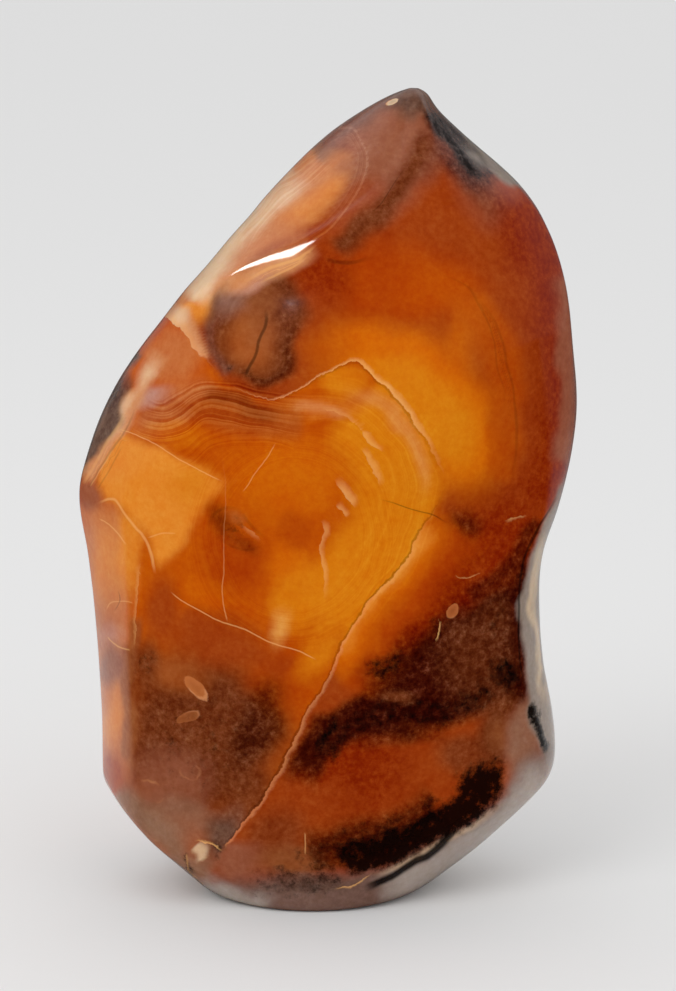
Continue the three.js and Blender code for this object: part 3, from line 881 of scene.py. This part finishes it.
@dataclass
class FlameStone:
    """The carving itself: its surface, its wear, and the pattern that its finish reads."""

    surface: StoneSurface = field(default_factory=StoneSurface)
    undulation: float = 0.09 * MM  # how far polishing by hand leaves the faces uneven
    long_wave: float = 11 * MM
    short_wave: float = 5 * MM
    short_share: float = 0.4
    waves_start: tuple[float, float] = (1 * MM, 6 * MM)  # heights over which the waves come in
    inset_start: tuple[float, float] = (0.5 * MM, 3 * MM)  # heights over which the surface draws in
    back: tuple[float, float] = (-3 * MM, 22 * MM)  # depths over which the pattern drifts
    back_shift: Pixel = (52.0, 74.0)
    back_drift: float = 60.0  # in pixels
    drift_size: float = 14 * MM
    left: tuple[float, float] = (10 * MM, -25 * MM)  # places over which the left back's lift comes in
    left_back: tuple[float, float] = (2 * MM, 15 * MM)  # the same, in depth
    left_lift: float = 190.0  # in pixels; it keeps the left back from mirroring the front
    ripple: float = 3.0  # in pixels; lines and clouds both have it
    ripple_size: float = 4 * MM
    # How far the clouds are drawn out of shape: sizes in millimetres and reaches in pixels
    stirs: tuple[Pixel, ...] = ((9.0, 7.0), (4.0, 4.0), (1.9, 2.0), (1.0, 1.0))
    count_apart: float = 17.3  # keeps the rhythms of two growth curves apart
    flaw_reach: tuple[float, float] = (2.4, 1.2)  # millimetres from a flaw where its look ends and is full
    no_flaw: float = 1e3  # a distance that stands for none
    least_width: float = 0.1
    no_chip: float = 9.0  # a radius that stands for none

    def build(self) -> bpy.types.Object:
        """Makes the stone's mesh, with the pattern in its attributes.

        Returns:
            The stone, without a finish.
        """
        grid = self.surface.polished(self.surface.grid())
        grid = self.worn(grid)
        points = grid.reshape(-1, 3)
        mesh = bpy.data.meshes.new("carnelian_flame")
        mesh.from_pydata(points.tolist(), [], self.faces(*grid.shape[:2]))
        mesh.polygons.foreach_set("use_smooth", [True] * len(mesh.polygons))
        for name, values in self.pattern(points).items():
            if values.ndim == 1:
                layer = mesh.attributes.new(name, "FLOAT", "POINT")
                layer.data.foreach_set("value", values.astype(np.float32))
            else:
                layer = mesh.attributes.new(name, "FLOAT_COLOR", "POINT")
                opaque = np.ones((len(values), 1))
                layer.data.foreach_set("color", np.hstack([values, opaque]).astype(np.float32).ravel())
        mesh.update()
        stone = bpy.data.objects.new("carnelian_flame", mesh)
        bpy.context.scene.collection.objects.link(stone)
        return stone

    @staticmethod
    def faces(rows: int, columns: int) -> list[tuple[int, ...]]:
        """The grid's faces, with one face for the resting flat and one for the top of the tip."""
        made = [tuple(reversed(range(columns)))]
        for row in range(rows - 1):
            low, high = row * columns, (row + 1) * columns
            for column in range(columns):
                beside = (column + 1) % columns
                made.append((low + column, low + beside, high + beside, high + column))
        made.append(tuple(range((rows - 1) * columns, rows * columns)))
        return made

    def worn(self, grid: np.ndarray) -> np.ndarray:
        """Lets the faces wave a little, as hand polishing leaves them."""
        points = grid.reshape(-1, 3)
        wave = soft_noise(points, self.long_wave, LONG_WAVE_SEED)
        wave += self.short_share * soft_noise(points, self.short_wave, SHORT_WAVE_SEED)
        wave *= smooth_step(points[:, 2], *self.waves_start)
        inward = -self.undulation * (1.0 + wave) * smooth_step(points[:, 2], *self.inset_start)
        moved = grid + self.surface.normals(grid) * inward.reshape(grid.shape[:2])[..., None]
        moved[0, :, 2] = 0.0
        return moved

    def pattern_pixels(self, points: np.ndarray) -> np.ndarray:
        """Where each point reads the pattern: as the photograph shows it in front, and drifting behind.

        Args:
            points: The stone's points, in metres.

        Returns:
            Pixels of the photograph, one row for each point.
        """
        seen = PHOTO.pixels(points)
        depth = smooth_step(points[:, 1], *self.back)
        drift = np.stack([soft_noise(points, self.drift_size, seed) for seed in DRIFT_SEEDS], axis=1)
        ripple = np.stack([soft_noise(points, self.ripple_size, seed) for seed in RIPPLE_SEEDS], axis=1)
        shift = (self.back_shift + drift * self.back_drift) * depth[:, None]
        left = smooth_step(points[:, 0], *self.left) * smooth_step(points[:, 1], *self.left_back)
        shift[:, 1] -= self.left_lift * left
        return seen + shift + ripple * self.ripple

    def pattern(self, points: np.ndarray) -> dict[str, np.ndarray]:
        """Works out the pattern at each point.

        Args:
            points: The stone's points, in metres.

        Returns:
            Each attribute's name and values: a number or a linear colour for each point.
        """
        pixels = self.pattern_pixels(points)
        cloudy = pixels + self.stirring(points)
        found = {
            "inner_colour": lay(cloudy, INNER_GROUND, INNER_PATCHES + TOP_PATCHES),
            "outer_colour": lay(cloudy, OUTER_GROUND, OUTER_PATCHES + TOP_PATCHES),
        }
        found["soot"] = np.max([patch.cover(cloudy) for patch in SOOT_PATCHES], axis=0)
        found.update(self.seam(pixels))
        found.update(self.growth(pixels))
        for name, flaws in FLAWS.items():
            found.update(self.flaws(name, pixels, flaws))
        found.update(self.chips(pixels))
        return found

    def stirring(self, points: np.ndarray) -> np.ndarray:
        """How far the stone's clouds are drawn out of shape at each point, in pixels."""
        moved = np.zeros((len(points), 2))
        for size, reach in self.stirs:
            for axis in range(2):
                seed = round(10 * size) + axis
                moved[:, axis] += reach * soft_noise(points, size * MM, seed)
        return moved

    @staticmethod
    def seam(pixels: np.ndarray) -> dict[str, np.ndarray]:
        """The distance from the great seam in millimetres, positive outside it, and its look."""
        gap, run = Trace(*(place.pixel for place in SEAM_PLACES)).measure(pixels)
        places = np.linspace(0.0, 1.0, len(SEAM_PLACES))
        found = {"seam": -gap * PHOTO.pixel / MM}
        for look in ("soft", "lip", "lip_width", "crack", "warm"):
            found["seam_" + look] = np.interp(run, places, [getattr(place, look) for place in SEAM_PLACES])
        return found

    def growth(self, pixels: np.ndarray) -> dict[str, np.ndarray]:
        """For each look, the count of growth lines out from the nearest curve, and how strong they are."""
        found = {look.value + end: np.zeros(len(pixels)) for look in LineLook for end in ("", "_count")}
        for number, lines in enumerate(GROWTH):
            count, cover = lines.read(pixels)
            look = lines.look.value
            stronger = cover > found[look]
            count += self.count_apart * number
            found[look + "_count"] = np.where(stronger, count, found[look + "_count"])
            found[look] = np.where(stronger, cover, found[look])
        return found

    def flaws(self, name: str, pixels: np.ndarray, flaws: Sequence[Flaw]) -> dict[str, np.ndarray]:
        """The signed distance from the nearest flaw in millimetres, and that flaw's width and strength."""
        near = np.full(len(pixels), self.no_flaw)
        strength = np.zeros(len(pixels))
        width = np.full(len(pixels), self.least_width)
        for flaw in flaws:
            gap, run = flaw.trace.measure(pixels)
            gap = gap * PHOTO.pixel / MM
            ends = smooth_step(run, 0.0, flaw.ends[0]) * smooth_step(run, 1.0, 1.0 - flaw.ends[1])
            closer = np.abs(gap) < np.abs(near)
            near = np.where(closer, gap, near)
            beside = flaw.strength * ends * smooth_step(np.abs(gap), *self.flaw_reach)
            strength = np.where(closer, beside, strength)
            width = np.where(closer, flaw.width, width)
            LOG.debug("%s is the nearest in a share of %.3f", flaw.name, closer.mean())
        return {name: near, name + "_strength": strength, name + "_width": width}

    def chips(self, pixels: np.ndarray) -> dict[str, np.ndarray]:
        """How far out of the nearest chip each point lies, as a share of its reach, and the chip's look."""
        near = np.full(len(pixels), self.no_chip)
        strength = np.zeros(len(pixels))
        colour = np.zeros((len(pixels), 3))
        for chip in CHIPS:
            radius = chip.radius(pixels)
            closer = radius < near
            near = np.where(closer, radius, near)
            strength[closer] = chip.strength
            colour[closer] = chip.shade.linear
        return {"chip": near, "chip_strength": strength, "chip_colour": colour}


@dataclass(frozen=True)
class Grain:
    """Random values in the stone, evenly about 0."""

    scale: float  # how many changes there are in a metre
    detail: float  # how many finer layers there are
    reach: float = 1.0  # from the lowest value to the highest
    roughness: float = 0.5  # how strong the finer layers are


class NodeSheet:
    """The nodes of a material or of the world, written as calls."""

    def __init__(self, owner: bpy.types.Material | bpy.types.World) -> None:
        """Clears the nodes of a material or a world.

        Args:
            owner: What the nodes belong to.
        """
        owner.use_nodes = True
        self.tree = owner.node_tree
        self.tree.nodes.clear()

    def node(self, kind: str, inputs: dict[str | int, Number] | None = None,
             **settings: object) -> bpy.types.Node:
        """Adds a node, sets it and feeds it.

        Args:
            kind: The node's type.
            inputs: What goes into its sockets: a number, a colour or another node's socket.
            settings: The node's own properties.

        Returns:
            The node.
        """
        made = self.tree.nodes.new(kind)
        for name, value in settings.items():
            setattr(made, name, value)
        for name, value in (inputs or {}).items():
            if isinstance(value, Socket):
                self.tree.links.new(value, made.inputs[name])
            else:
                made.inputs[name].default_value = value
        return made

    def attribute(self, name: str) -> Socket:
        """A number that the mesh holds at each point."""
        return self.node("ShaderNodeAttribute", attribute_name=name).outputs["Fac"]

    def colour(self, name: str) -> Socket:
        """A colour that the mesh holds at each point."""
        return self.node("ShaderNodeAttribute", attribute_name=name).outputs["Color"]

    def math(self, operation: str, *values: Number) -> Socket:
        """The result of one sum on one to three numbers."""
        return self.node("ShaderNodeMath", dict(enumerate(values)), operation=operation).outputs[0]

    def plus(self, first: Number, second: Number, share: Number = 1.0) -> Socket:
        """The first number, and the second times a share."""
        return self.math("MULTIPLY_ADD", second, share, first)

    def product(self, *values: Number) -> Socket:
        """Numbers multiplied with each other."""
        made = values[0]
        for value in values[1:]:
            made = self.math("MULTIPLY", made, value)
        return made

    def ease(self, value: Number, low: Number, high: Number, start: float = 0.0, end: float = 1.0) -> Socket:
        """A number eased from start to end between two limits."""
        inputs = {"Value": value, "From Min": low, "From Max": high, "To Min": start, "To Max": end}
        return self.node("ShaderNodeMapRange", inputs, interpolation_type="SMOOTHSTEP").outputs["Result"]

    def mix(self, share: Number, first: Number, second: Number) -> Socket:
        """Two colours mixed."""
        return self.node("ShaderNodeMix", {0: share, 6: first, 7: second}, data_type="RGBA").outputs[2]

    def lerp(self, share: Number, first: Number, second: Number) -> Socket:
        """Two numbers mixed."""
        return self.node("ShaderNodeMix", {0: share, 2: first, 3: second}, data_type="FLOAT").outputs[0]

    def deepen(self, colour: Socket, power: Socket) -> Socket:
        """A colour made darker and richer where the power is over 1, and paler where it is under 1."""
        return self.node("ShaderNodeGamma", {"Color": colour, "Gamma": power}).outputs[0]

    def light(self, colour: Socket) -> Socket:
        """How light a colour is."""
        return self.node("ShaderNodeRGBToBW", {0: colour}).outputs[0]

    def random(self, grain: Grain, where: Socket) -> Socket:
        """A grain's random values."""
        inputs = {"Vector": where, "Scale": grain.scale, "Detail": grain.detail, "Roughness": grain.roughness}
        made = self.node("ShaderNodeTexNoise", inputs).outputs["Fac"]
        return self.math("MULTIPLY_ADD", made, grain.reach, -0.5 * grain.reach)


@dataclass(frozen=True)
class CarnelianFinish:
    """Polished carnelian: clouded from black to cream, with a seam, growth lines, fractures and chips.

    A pair of numbers gives the limits between which something comes in, in millimetres where it is a
    distance, and two more numbers give its strength at each limit.
    """

    roughness: float = 0.08
    index: float = 1.54
    inner_light: float = 0.2  # the share of light that passes under the surface
    inner_reach: float = 0.8 * MM
    inner_tint: tuple[float, float, float] = (1.0, 0.4, 0.12)  # how far each colour goes
    gloss: tuple[float, ...] = (0.001, 0.012, 0.1, 0.5)  # by the colour's light: black parts are duller
    pale: Shade = Shade.SHELL  # fractures and broken edges
    edge_strength: float = 0.8  # of the lips, the broken edges and the great seam's dark line
    # The stone's cloudiness, stronger where the stone is dark
    broad: Grain = Grain(160.0, 5.0, roughness=0.6)
    middle: Grain = Grain(420.0, 3.0, 0.5)
    fine: Grain = Grain(1100.0, 4.0, roughness=0.7)
    cloudy: tuple[float, ...] = (0.01, 0.12, 0.55, 0.3)
    grainy: tuple[float, ...] = (0.01, 0.12, 1.6, 0.4)
    # Growth lines
    wander: Grain = Grain(220.0, 2.0, 0.6)
    rhythm: tuple[float, float, float] = (1.7, 3.0, 0.55)  # scale, detail and roughness of the lines' order
    dark_line: tuple[float, float] = (0.56, 0.4)
    between_lines: tuple[float, float] = (0.5, 0.7)
    pale_line: tuple[float, float] = (0.44, 0.64)
    line_powers: tuple[float, float, float] = (0.5, -0.18, -0.22)  # dark, between dark and pale lines
    # Black dendrites
    specks: Grain = Grain(700.0, 6.0, 1.6, 0.75)
    sooty: tuple[float, ...] = (0.32, 0.95, 0.0, 0.98)
    # The great seam
    seam_jag: Grain = Grain(520.0, 5.0, 1.5, 0.62)
    seam_line: float = 0.14  # how far inside the seam its dark line runs
    seam_width: tuple[float, float] = (0.24, 0.04)
    lip_rise: tuple[float, float] = (-0.03, 0.08)
    lip_fade: tuple[float, float] = (1.0, 0.1)  # in shares of the lip's width
    # Broken edges, fractures and chips
    edge_jag: Grain = Grain(900.0, 3.0, 0.9)
    fracture_jag: Grain = Grain(500.0, 3.0, 0.25)
    fracture_soft: float = 0.06
    fracture_core: float = 0.3  # the share of its width in which a fracture has its full strength
    fracture_most: float = 0.6
    crack_most: float = 0.95
    chip_jag: Grain = Grain(600.0, 4.0, 0.7)
    chip_rim: tuple[float, float] = (1.0, 0.85)
    chip_hollow: tuple[float, ...] = (0.1, 0.9, 0.7, 1.0)
    chip_strength: float = 0.7
    chip_edge_in: tuple[float, float] = (0.7, 0.9)
    chip_edge_out: tuple[float, float] = (1.1, 0.95)
    chip_gaps: Grain = Grain(300.0, 2.0)
    chip_glint: tuple[float, ...] = (-0.05, 0.1, 0.0, 0.7)

    def build(self) -> bpy.types.Material:
        """Makes the material.

        Returns:
            The finish, which reads the stone's attributes.
        """
        made = bpy.data.materials.new("polished_carnelian")
        sheet = NodeSheet(made)
        place = sheet.node("ShaderNodeTexCoord").outputs["Object"]
        seam = sheet.plus(sheet.attribute("seam"), sheet.random(self.seam_jag, place))
        soft = sheet.attribute("seam_soft")
        outside = sheet.ease(seam, sheet.product(soft, -1.0), soft)
        colour = sheet.mix(outside, sheet.colour("inner_colour"), sheet.colour("outer_colour"))
        colour = self.mottled(sheet, place, colour)
        colour = self.banded(sheet, place, colour)
        soot = sheet.plus(sheet.attribute("soot"), sheet.random(self.specks, place))
        colour = sheet.mix(sheet.ease(soot, *self.sooty), colour, Shade.BLACK.paint)
        colour = self.stepped(sheet, place, colour)
        colour = self.seamed(sheet, seam, colour)
        colour = self.fractured(sheet, place, colour)
        colour = self.chipped(sheet, place, colour)
        shader = sheet.node("ShaderNodeBsdfPrincipled", {
            "Base Color": colour,
            "Specular IOR Level": sheet.ease(sheet.light(colour), *self.gloss),
            "Roughness": self.roughness,
            "IOR": self.index,
            "Subsurface Weight": self.inner_light,
            "Subsurface Radius": self.inner_tint,
            "Subsurface Scale": self.inner_reach,
        })
        sheet.node("ShaderNodeOutputMaterial", {"Surface": shader.outputs[0]})
        return made

    def mottled(self, sheet: NodeSheet, place: Socket, colour: Socket) -> Socket:
        """The colour with the stone's own cloudiness."""
        light = sheet.light(colour)
        depth = sheet.ease(light, *self.cloudy)
        power = sheet.plus(1.0, sheet.random(self.broad, place), depth)
        power = sheet.plus(power, sheet.random(self.middle, place), depth)
        power = sheet.plus(power, sheet.random(self.fine, place), sheet.ease(light, *self.grainy))
        return sheet.deepen(colour, power)

    def banded(self, sheet: NodeSheet, place: Socket, colour: Socket) -> Socket:
        """The colour with the dark and the pale growth lines drawn in it."""
        wander = sheet.random(self.wander, place)
        scale, detail, roughness = self.rhythm
        rhythm = {}
        for look in LineLook:
            inputs = {"W": sheet.plus(sheet.attribute(look.value + "_count"), wander), "Scale": scale,
                      "Detail": detail, "Roughness": roughness}
            rhythm[look] = sheet.node("ShaderNodeTexNoise", inputs, noise_dimensions="1D").outputs["Fac"]
        power = 1.0
        looks = (LineLook.BAND_DARK, LineLook.BAND_DARK, LineLook.BAND_PALE)
        limits = (self.dark_line, self.between_lines, self.pale_line)
        for look, (low, high), share in zip(looks, limits, self.line_powers):
            line = sheet.product(sheet.ease(rhythm[look], low, high), sheet.attribute(look.value))
            power = sheet.plus(power, line, share)
        return sheet.deepen(colour, power)

    def lip(self, sheet: NodeSheet, gap: Socket, name: str, width: str) -> Socket:
        """How bright a broken edge is: sharp where the gap passes 0, and fading over the width.

        Args:
            sheet: The material's nodes.
            gap: The distance from the edge.
            name: The attribute with the edge's strength.
            width: The attribute with the edge's width.

        Returns:
            The share of the pale colour.
        """
        fading = sheet.ease(sheet.math("DIVIDE", gap, sheet.attribute(width)), *self.lip_fade)
        rise = sheet.ease(gap, *self.lip_rise)
        return sheet.product(rise, fading, sheet.attribute(name), self.edge_strength)

    def stepped(self, sheet: NodeSheet, place: Socket, colour: Socket) -> Socket:
        """The colour with the broken edges, bright at the edge and fading to one side, and with painted
        highlights that are drawn the same way.
        """
        jag = sheet.random(self.edge_jag, place)
        for name in ("step", "step_beside"):
            gap = sheet.plus(sheet.attribute(name), jag)
            share = self.lip(sheet, gap, name + "_strength", name + "_width")
            colour = sheet.mix(share, colour, self.pale.paint)
        return colour

    def seamed(self, sheet: NodeSheet, seam: Socket, colour: Socket) -> Socket:
        """The colour with the great seam's dark line and its pale lip."""
        away = sheet.math("ABSOLUTE", sheet.plus(seam, self.seam_line))
        line = sheet.ease(away, *self.seam_width)
        crack = sheet.product(line, sheet.attribute("seam_crack"), self.edge_strength)
        edge = sheet.mix(sheet.attribute("seam_warm"), self.pale.paint, Shade.CORAL.paint)
        colour = sheet.mix(self.lip(sheet, seam, "seam_lip", "seam_lip_width"), colour, edge)
        return sheet.mix(crack, colour, Shade.MAROON.paint)

    def fractured(self, sheet: NodeSheet, place: Socket, colour: Socket) -> Socket:
        """The colour with the healed fractures and the painted highlight strokes under the brow as pale
        lines, and the cracks as dark ones.
        """
        jag = sheet.random(self.fracture_jag, place)
        pale, dark = (self.fracture_most, self.pale), (self.crack_most, Shade.BLACK)
        for name, (most, shade) in (("fracture", pale), ("cross", pale), ("crack", dark)):
            gap = sheet.math("ABSOLUTE", sheet.plus(sheet.attribute(name), jag))
            width = sheet.attribute(name + "_width")
            core = sheet.product(width, self.fracture_core)
            share = sheet.ease(gap, sheet.plus(width, self.fracture_soft), core, 0.0, most)
            share = sheet.product(share, sheet.attribute(name + "_strength"))
            colour = sheet.mix(share, colour, shade.paint)
        return colour

    def chipped(self, sheet: NodeSheet, place: Socket, colour: Socket) -> Socket:
        """The colour with the chips, each paler at its edge."""
        radius = sheet.plus(sheet.attribute("chip"), sheet.random(self.chip_jag, place))
        strength = sheet.attribute("chip_strength")
        rim, hollow = sheet.ease(radius, *self.chip_rim), sheet.ease(radius, *self.chip_hollow)
        fill = sheet.product(rim, hollow, strength, self.chip_strength)
        colour = sheet.mix(fill, colour, sheet.colour("chip_colour"))
        inside, outside = sheet.ease(radius, *self.chip_edge_in), sheet.ease(radius, *self.chip_edge_out)
        glint = sheet.ease(sheet.random(self.chip_gaps, place), *self.chip_glint)
        return sheet.mix(sheet.product(inside, outside, glint, strength), colour, Shade.PEACH.paint)


@dataclass(frozen=True)
class SoftLight:
    """A rectangular soft light that faces the stone."""

    name: str
    place: tuple[float, float, float]
    size: tuple[float, float]
    power: float  # in watts
    reflected: bool = False  # whether the polish shows it; the stone is lit by it only where it doesn't

    def build(self) -> None:
        """Adds the light to the scene."""
        data = bpy.data.lights.new(self.name, "AREA")
        data.shape = "RECTANGLE"
        data.size, data.size_y = self.size
        data.energy = self.power
        made = bpy.data.objects.new(self.name, data)
        made.location = self.place
        aim = Vector(STONE_MIDDLE) - made.location
        made.rotation_mode = "QUATERNION"
        made.rotation_quaternion = aim.to_track_quat("-Z", "Y")
        made.visible_glossy = self.reflected
        made.visible_diffuse = not self.reflected
        bpy.context.scene.collection.objects.link(made)


STUDIO_LIGHTS = (
    SoftLight("key", (-0.45, -0.55, 0.6), (0.5, 0.5), 1.6),
    SoftLight("fill", (0.5, -0.7, 0.2), (0.6, 0.6), 0.8),
    SoftLight("brow strip", (-0.40, -0.22, 0.44), (0.5, 0.1), 3.6, reflected=True),
)


@dataclass
class Studio:
    """The pale floor, the soft lights and the surroundings that the polish reflects."""

    floor_size: float = 12.0
    floor_grey: float = 0.82
    room: float = 1.1  # how bright the room is for everything but the polish
    # The reflections in the polish: limits, and how bright they are at each
    # The floor's look in the polish is painted: grey near the stone and behind it, dark before it and far
    # off.
    near_floor: tuple[float, ...] = (0.35, 0.03, 0.12, 1.0)  # by distance from the stone
    reflection_shade_edge: tuple[float, float] = (-0.02, 0.02)  # the floor's look in the polish is painted dark before it and grey behind it
    room_depth: tuple[float, ...] = (-0.5, 0.3, 0.004, 0.9)  # from ahead to behind
    room_height: tuple[float, ...] = (0.3, 0.6, 0.25, 1.0)

    def build(self) -> None:
        """Makes the floor, the lights and the room."""
        self.floor()
        for light in STUDIO_LIGHTS:
            light.build()
        self.surroundings()
        bpy.context.scene.view_settings.view_transform = "Standard"

    def floor(self) -> None:
        """A wide even sheet under the stone."""
        half = self.floor_size / 2
        mesh = bpy.data.meshes.new("floor")
        corners = [(-half, -half, 0.0), (half, -half, 0.0), (half, half, 0.0), (-half, half, 0.0)]
        mesh.from_pydata(corners, [], [(0, 1, 2, 3)])
        mesh.materials.append(self.floor_finish())
        made = bpy.data.objects.new("floor", mesh)
        bpy.context.scene.collection.objects.link(made)

    def floor_finish(self) -> bpy.types.Material:
        """A pale floor, which the polish shows with painted shade: dark before the stone and dimmer far from
        it.
        """
        made = bpy.data.materials.new("pale_floor")
        sheet = NodeSheet(made)
        place = sheet.node("ShaderNodeTexCoord").outputs["Object"]
        ahead = sheet.node("ShaderNodeSeparateXYZ", {0: place}).outputs["Y"]
        away = sheet.node("ShaderNodeVectorMath", {0: place}, operation="LENGTH").outputs["Value"]
        behind = sheet.ease(ahead, *self.reflection_shade_edge, 0.0, self.floor_grey)
        reflected = sheet.product(behind, sheet.ease(away, *self.near_floor))
        glossy = sheet.node("ShaderNodeLightPath").outputs["Is Glossy Ray"]
        grey = sheet.lerp(glossy, self.floor_grey, reflected)
        shade = sheet.node("ShaderNodeCombineColor", {0: grey, 1: grey, 2: grey}).outputs[0]
        shader = sheet.node("ShaderNodeBsdfDiffuse", {"Color": shade})
        sheet.node("ShaderNodeOutputMaterial", {"Surface": shader.outputs[0]})
        return made

    def surroundings(self) -> None:
        """An even pale room, which the polish shows bright behind and above and dark on the camera's side."""
        world = bpy.data.worlds.new("studio_room")
        bpy.context.scene.world = world
        sheet = NodeSheet(world)
        place = sheet.node("ShaderNodeTexCoord").outputs["Generated"]
        apart = sheet.node("ShaderNodeSeparateXYZ", {0: place})
        behind, height = apart.outputs["Y"], apart.outputs["Z"]
        reflected = sheet.product(sheet.ease(behind, *self.room_depth), sheet.ease(height, *self.room_height))
        glossy = sheet.node("ShaderNodeLightPath").outputs["Is Glossy Ray"]
        strength = sheet.lerp(glossy, self.room, reflected)
        sky = sheet.node("ShaderNodeBackground", {"Strength": strength})
        sheet.node("ShaderNodeOutputWorld", {"Surface": sky.outputs[0]})


def main() -> None:
    """Builds the camera, the stone and the studio, in that order."""
    logging.basicConfig(level=logging.INFO, format="%(name)s: %(message)s")
    PHOTO.camera()
    stone = FlameStone().build()
    stone.data.materials.append(CarnelianFinish().build())
    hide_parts("flame")
    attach(stone, "root")
    LOG.info("%s: %d vertices, %d faces", stone.name, len(stone.data.vertices), len(stone.data.polygons))
    Studio().build()


if __name__ == "__main__":
    main()
